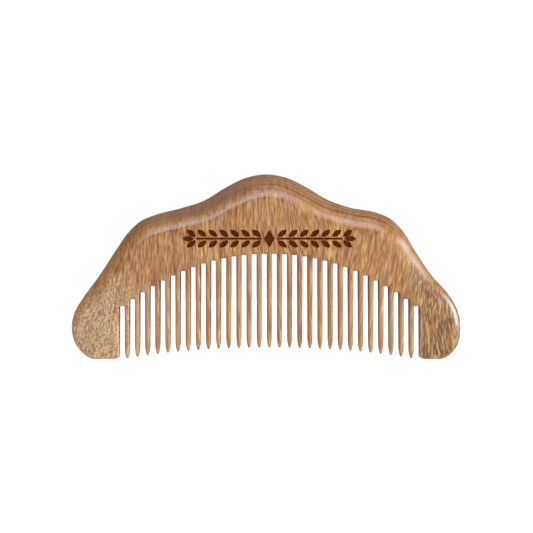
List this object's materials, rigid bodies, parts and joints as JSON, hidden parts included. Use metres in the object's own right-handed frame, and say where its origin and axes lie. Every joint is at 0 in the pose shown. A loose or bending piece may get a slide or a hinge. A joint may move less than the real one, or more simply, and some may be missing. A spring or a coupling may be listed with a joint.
{
  "type": "beard comb",
  "caption": "Arched wooden beard comb: a thick rounded back, a row of fine saw-cut teeth and a solid guard with a flat foot at each end.",
  "frame": {"origin": "on the resting plane of the two feet, at the middle of the comb's length and thickness", "axes": "+X along the comb to the right as seen from the engraved face, +Y from the engraved face to the plain face, +Z from the feet and tooth tips up to the crown"},
  "size_m": [0.115, 0.0092, 0.0547],
  "materials": {
    "comb_wood": "satin, hand-polished"
  },
  "bodies": {
    "root": {"back": "comb_wood", "guard_left": "comb_wood", "guard_right": "comb_wood", "tooth_01": "comb_wood", "tooth_02": "comb_wood", "tooth_03": "comb_wood", "tooth_04": "comb_wood", "tooth_05": "comb_wood", "tooth_06": "comb_wood", "tooth_07": "comb_wood", "tooth_08": "comb_wood", "tooth_09": "comb_wood", "tooth_10": "comb_wood", "tooth_11": "comb_wood", "tooth_12": "comb_wood", "tooth_13": "comb_wood", "tooth_14": "comb_wood", "tooth_15": "comb_wood", "tooth_16": "comb_wood", "tooth_17": "comb_wood", "tooth_18": "comb_wood", "tooth_19": "comb_wood", "tooth_20": "comb_wood", "tooth_21": "comb_wood", "tooth_22": "comb_wood", "tooth_23": "comb_wood", "tooth_24": "comb_wood", "tooth_25": "comb_wood", "tooth_26": "comb_wood", "tooth_27": "comb_wood", "tooth_28": "comb_wood", "tooth_29": "comb_wood"}
  },
  "joints": []
}
